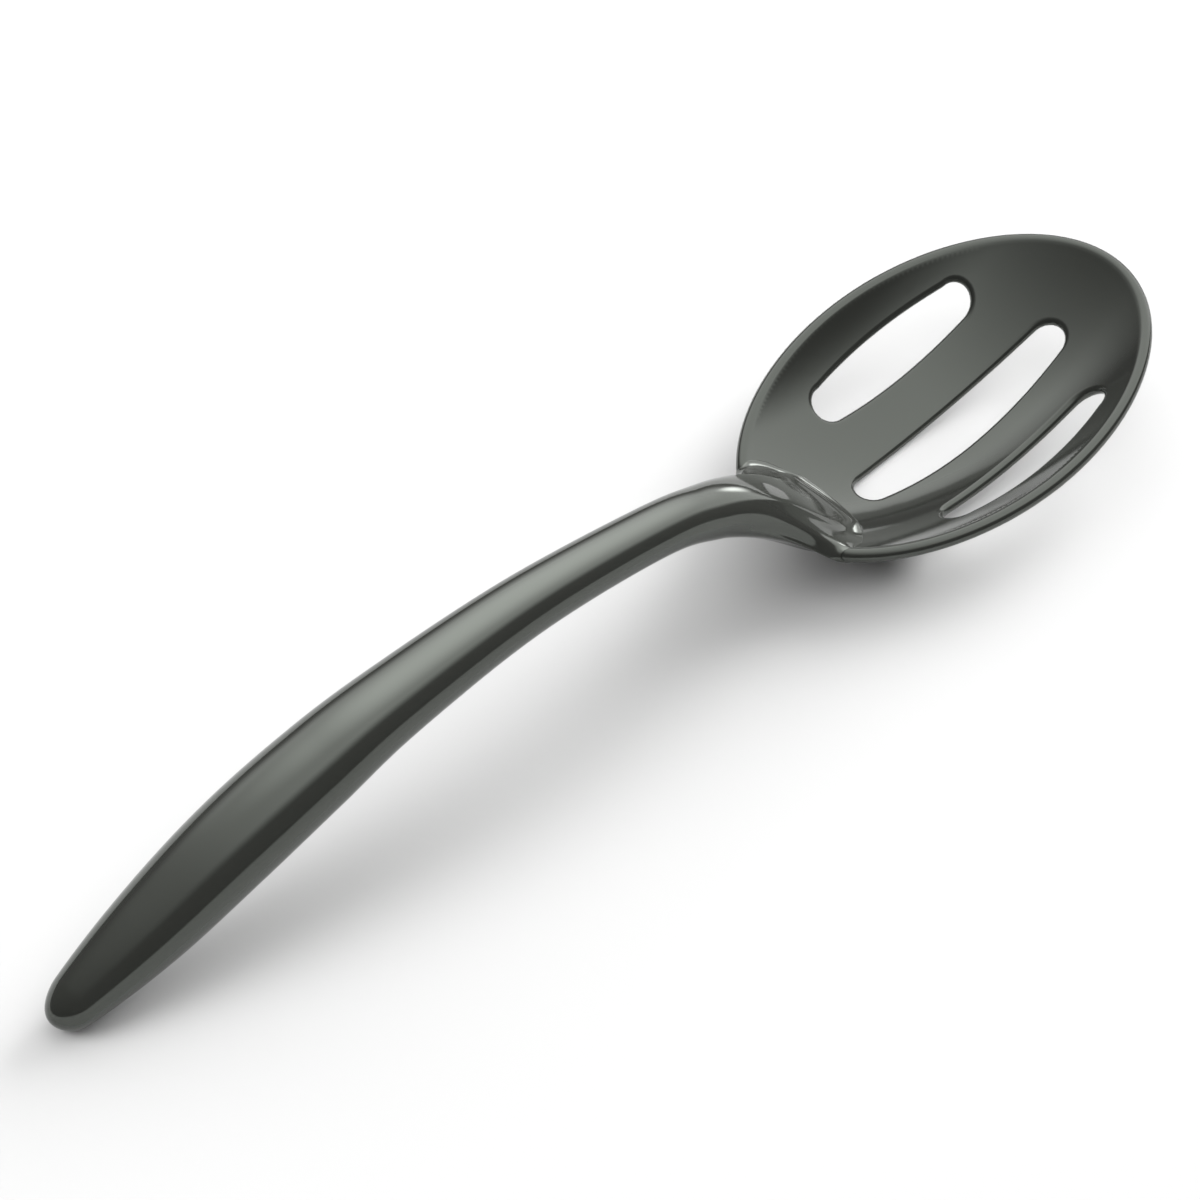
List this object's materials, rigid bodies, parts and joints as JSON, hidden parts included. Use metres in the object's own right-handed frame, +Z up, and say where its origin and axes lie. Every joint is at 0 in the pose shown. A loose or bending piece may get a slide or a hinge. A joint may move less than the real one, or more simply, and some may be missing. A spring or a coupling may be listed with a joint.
{
  "type": "slotted serving spoon",
  "caption": "Serving spoon with an oval bowl cut by long drain slots and an arched hollow oval handle that laps over and under the bowl at its heel.",
  "frame": {"origin": "on the resting plane, under the middle of the spoon's length and width", "axes": "+X along the spoon from the handle tip to the bowl tip, +Y across it, +Z up out of the bowl"},
  "size_m": [0.3058, 0.0744, 0.0448],
  "materials": {
    "grey_coat": "smooth gloss coat over steel",
    "weld_coat": "dressed weld under the same gloss coat"
  },
  "bodies": {
    "root": {"bowl": "grey_coat", "handle_upper_shell": "grey_coat", "handle_lower_shell": "grey_coat", "seam_weld": "weld_coat", "heel_weld_upper": "weld_coat", "heel_weld_lower": "weld_coat"}
  },
  "joints": []
}
